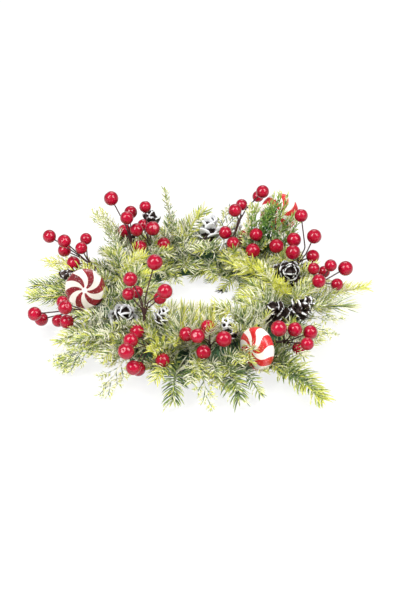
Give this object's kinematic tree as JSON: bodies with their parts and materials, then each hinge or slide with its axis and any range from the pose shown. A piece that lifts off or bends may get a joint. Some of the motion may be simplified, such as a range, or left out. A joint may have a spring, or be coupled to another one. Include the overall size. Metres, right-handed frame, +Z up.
{
  "type": "candle ring",
  "caption": "Decorative wreath ring with berries, cones, peppermint sweets and evergreen sprigs round an open middle for a pillar candle.",
  "frame": {"origin": "centre of the ring's opening, on the surface that the ring stands on", "axes": "+Z up through the candle's place; -Y towards the front of the ring, +X to its right"},
  "size_m": [0.3078, 0.2568, 0.0907],
  "materials": {
    "brown_twig": "florist's tape over wire, matt dark brown",
    "red_berry": "lacquered foam, glossy crimson",
    "white_candy": "lacquered foam, warm white with fine glitter",
    "red_candy": "lacquered foam, deep red with fine glitter",
    "pick_wire": "plain steel wire",
    "cone_scale": "dark brown scales with whitened tips",
    "spruce_needle": "moulded needles, yellow-green at the tips",
    "pine_needle": "moulded needles, grey-green with frost",
    "cedar_leaf": "moulded leaves, grey-green with frost",
    "juniper_leaf": "moulded leaves, fresh green",
    "frosted_needle": "moulded needles, frosted cream",
    "wrapped_foam": "foam wound with dark green floral tape"
  },
  "bodies": {
    "root": {"left_back_spray_stem": "brown_twig", "back_left_outer_spray_stem": "brown_twig", "back_left_inner_spray_stem": "brown_twig", "left_inner_spray_stem": "brown_twig", "left_front_spray_stem": "brown_twig", "front_left_spray_stem": "brown_twig", "front_spray_stem": "brown_twig", "front_right_spray_stem": "brown_twig", "right_spray_stem": "brown_twig", "right_back_spray_stem": "brown_twig", "back_right_outer_spray_stem": "brown_twig", "back_right_inner_spray_stem": "brown_twig", "left_back_spray_berries": "red_berry", "back_left_outer_spray_berries": "red_berry", "back_left_inner_spray_berries": "red_berry", "left_inner_spray_berries": "red_berry", "left_front_spray_berries": "red_berry", "front_left_spray_berries": "red_berry", "front_spray_berries": "red_berry", "front_right_spray_berries": "red_berry", "right_spray_berries": "red_berry", "right_back_spray_berries": "red_berry", "back_right_outer_spray_berries": "red_berry", "back_right_inner_spray_berries": "red_berry", "left_candy": "white_candy", "front_right_candy": "white_candy", "back_right_candy": "white_candy", "left_candy_stripes": "red_candy", "front_right_candy_stripes": "red_candy", "back_right_candy_stripes": "red_candy", "candy_pins": "pick_wire", "cone_pins": "pick_wire", "right_cone": "cone_scale", "right_back_small_cone": "cone_scale", "right_front_cone": "cone_scale", "right_inner_cone": "cone_scale", "front_cone": "cone_scale", "left_inner_cone": "cone_scale", "left_small_cone": "cone_scale", "left_long_cone": "cone_scale", "back_cone": "cone_scale", "back_right_small_cone": "cone_scale", "back_left_cone": "cone_scale", "back_left_outer_cone": "cone_scale", "front_spruce_sprigs": "spruce_needle", "left_spruce_sprigs": "spruce_needle", "right_spruce_sprigs": "spruce_needle", "back_spruce_sprigs": "spruce_needle", "inner_spruce_sprigs": "spruce_needle", "pine_sprigs": "pine_needle", "left_cedar_sprigs": "cedar_leaf", "front_cedar_sprigs": "cedar_leaf", "right_cedar_sprigs": "cedar_leaf", "back_cedar_sprigs": "cedar_leaf", "juniper_sprigs": "juniper_leaf", "outer_tufts": "frosted_needle", "inner_tufts": "frosted_needle", "top_tufts": "frosted_needle", "base_ring": "wrapped_foam"}
  },
  "joints": []
}
